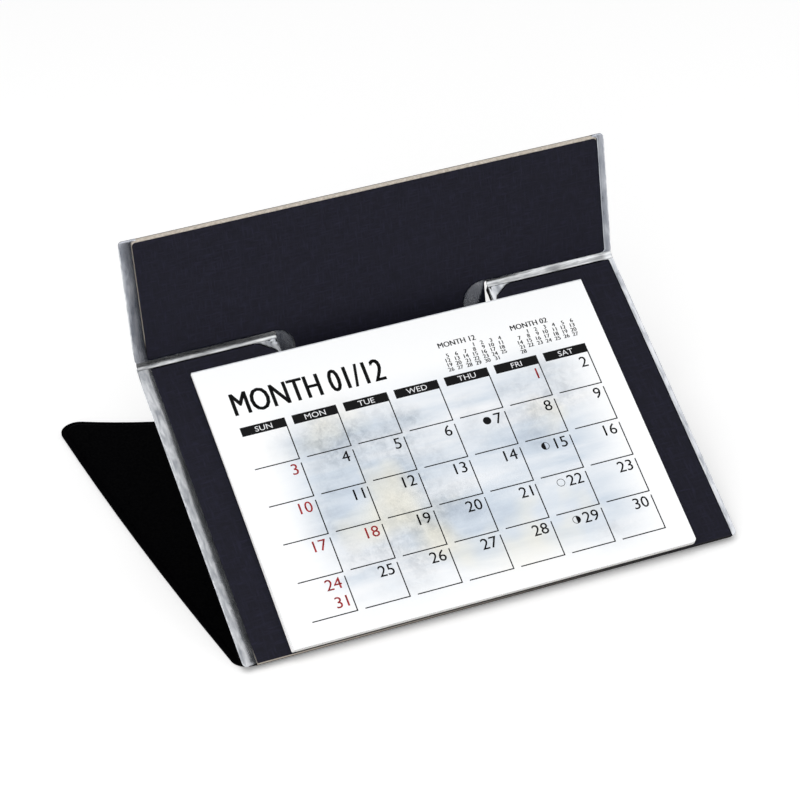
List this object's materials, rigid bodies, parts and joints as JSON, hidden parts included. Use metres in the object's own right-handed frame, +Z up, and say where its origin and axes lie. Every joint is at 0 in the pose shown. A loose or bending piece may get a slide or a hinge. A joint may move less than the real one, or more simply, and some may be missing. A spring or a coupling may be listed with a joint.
{
  "type": "desk calendar",
  "caption": "Easel desk calendar: a leaning panel with a tear-off pad, a folded header whose tongue props it up, and a flat base.",
  "frame": {"origin": "on the desk, below the middle of the calendar's bounding box", "axes": "+X to the viewer's right along the hinges, +Y from the pad towards the back of the base, +Z up"},
  "size_m": [0.1996, 0.1664, 0.1032],
  "materials": {
    "black_vinyl": "smooth black vinyl sheet",
    "clear_vinyl": "clear glossy vinyl sheet",
    "chipboard": "raw tan chipboard",
    "linen_cover_paper": "dark navy paper with a linen texture",
    "mounting_tape": "double-sided tape",
    "backing_card": "grey backing card",
    "binding_glue": "white padding compound",
    "leaf_paper": "smooth white paper"
  },
  "bodies": {
    "base": {"base_cover_bottom": "black_vinyl", "base_cover_top": "black_vinyl", "base_board": "chipboard", "base_hinge_web": "black_vinyl"},
    "front_panel": {"front_sleeve_back": "black_vinyl", "front_sleeve_face": "clear_vinyl", "front_insert_board": "chipboard", "front_insert_cover": "linen_cover_paper", "top_hinge_web_left": "clear_vinyl", "top_hinge_web_right": "clear_vinyl", "pad_tape_strips": "mounting_tape", "pad_backing_card": "backing_card", "pad_binding": "binding_glue"},
    "header": {"header_sleeve_back": "black_vinyl", "header_sleeve_face": "clear_vinyl", "header_insert_board": "chipboard", "header_insert_cover": "linen_cover_paper"},
    "leaf_01": {"leaf_01": "leaf_paper"},
    "leaf_02": {"leaf_02": "leaf_paper"},
    "leaf_03": {"leaf_03": "leaf_paper"},
    "leaf_04": {"leaf_04": "leaf_paper"},
    "leaf_05": {"leaf_05": "leaf_paper"},
    "leaf_06": {"leaf_06": "leaf_paper"},
    "leaf_07": {"leaf_07": "leaf_paper"},
    "leaf_08": {"leaf_08": "leaf_paper"},
    "leaf_09": {"leaf_09": "leaf_paper"},
    "leaf_10": {"leaf_10": "leaf_paper"},
    "leaf_11": {"leaf_11": "leaf_paper"},
    "leaf_12": {"leaf_12": "leaf_paper"}
  },
  "joints": [
    {"name": "front_fold", "type": "hinge", "parent": "base", "child": "front_panel", "pos_m": [0, -0.07948, 0.00195], "axis": [1, 0, 0], "range_deg": [0, 60]},
    {"name": "header_fold", "type": "hinge", "parent": "front_panel", "child": "header", "pos_m": [0, 0.01463, 0.05935], "axis": [1, 0, 0], "range_deg": [-53.6, 0]},
    {"name": "leaf_01_turn", "type": "hinge", "parent": "front_panel", "child": "leaf_01", "pos_m": [0, 0.00721, 0.05679], "axis": [-1, 0, 0], "range_deg": [0, 110]},
    {"name": "leaf_02_turn", "type": "hinge", "parent": "front_panel", "child": "leaf_02", "pos_m": [0, 0.00726, 0.05671], "axis": [-1, 0, 0], "range_deg": [0, 100.83]},
    {"name": "leaf_03_turn", "type": "hinge", "parent": "front_panel", "child": "leaf_03", "pos_m": [0, 0.00731, 0.05662], "axis": [-1, 0, 0], "range_deg": [0, 91.67]},
    {"name": "leaf_04_turn", "type": "hinge", "parent": "front_panel", "child": "leaf_04", "pos_m": [0, 0.00736, 0.05653], "axis": [-1, 0, 0], "range_deg": [0, 82.5]},
    {"name": "leaf_05_turn", "type": "hinge", "parent": "front_panel", "child": "leaf_05", "pos_m": [0, 0.00741, 0.05645], "axis": [-1, 0, 0], "range_deg": [0, 73.33]},
    {"name": "leaf_06_turn", "type": "hinge", "parent": "front_panel", "child": "leaf_06", "pos_m": [0, 0.00746, 0.05636], "axis": [-1, 0, 0], "range_deg": [0, 64.17]},
    {"name": "leaf_07_turn", "type": "hinge", "parent": "front_panel", "child": "leaf_07", "pos_m": [0, 0.00751, 0.05627], "axis": [-1, 0, 0], "range_deg": [0, 55]},
    {"name": "leaf_08_turn", "type": "hinge", "parent": "front_panel", "child": "leaf_08", "pos_m": [0, 0.00756, 0.05619], "axis": [-1, 0, 0], "range_deg": [0, 45.83]},
    {"name": "leaf_09_turn", "type": "hinge", "parent": "front_panel", "child": "leaf_09", "pos_m": [0, 0.00761, 0.0561], "axis": [-1, 0, 0], "range_deg": [0, 36.67]},
    {"name": "leaf_10_turn", "type": "hinge", "parent": "front_panel", "child": "leaf_10", "pos_m": [0, 0.00766, 0.05601], "axis": [-1, 0, 0], "range_deg": [0, 27.5]},
    {"name": "leaf_11_turn", "type": "hinge", "parent": "front_panel", "child": "leaf_11", "pos_m": [0, 0.00771, 0.05593], "axis": [-1, 0, 0], "range_deg": [0, 18.33]},
    {"name": "leaf_12_turn", "type": "hinge", "parent": "front_panel", "child": "leaf_12", "pos_m": [0, 0.00776, 0.05584], "axis": [-1, 0, 0], "range_deg": [0, 9.17]}
  ],
  "couplings": [
    {"joint": "leaf_02_turn", "follows": "leaf_01_turn", "ratio": 0.91667},
    {"joint": "leaf_03_turn", "follows": "leaf_01_turn", "ratio": 0.83333},
    {"joint": "leaf_04_turn", "follows": "leaf_01_turn", "ratio": 0.75},
    {"joint": "leaf_05_turn", "follows": "leaf_01_turn", "ratio": 0.66667},
    {"joint": "leaf_06_turn", "follows": "leaf_01_turn", "ratio": 0.58333},
    {"joint": "leaf_07_turn", "follows": "leaf_01_turn", "ratio": 0.5},
    {"joint": "leaf_08_turn", "follows": "leaf_01_turn", "ratio": 0.41667},
    {"joint": "leaf_09_turn", "follows": "leaf_01_turn", "ratio": 0.33333},
    {"joint": "leaf_10_turn", "follows": "leaf_01_turn", "ratio": 0.25},
    {"joint": "leaf_11_turn", "follows": "leaf_01_turn", "ratio": 0.16667},
    {"joint": "leaf_12_turn", "follows": "leaf_01_turn", "ratio": 0.083333}
  ]
}
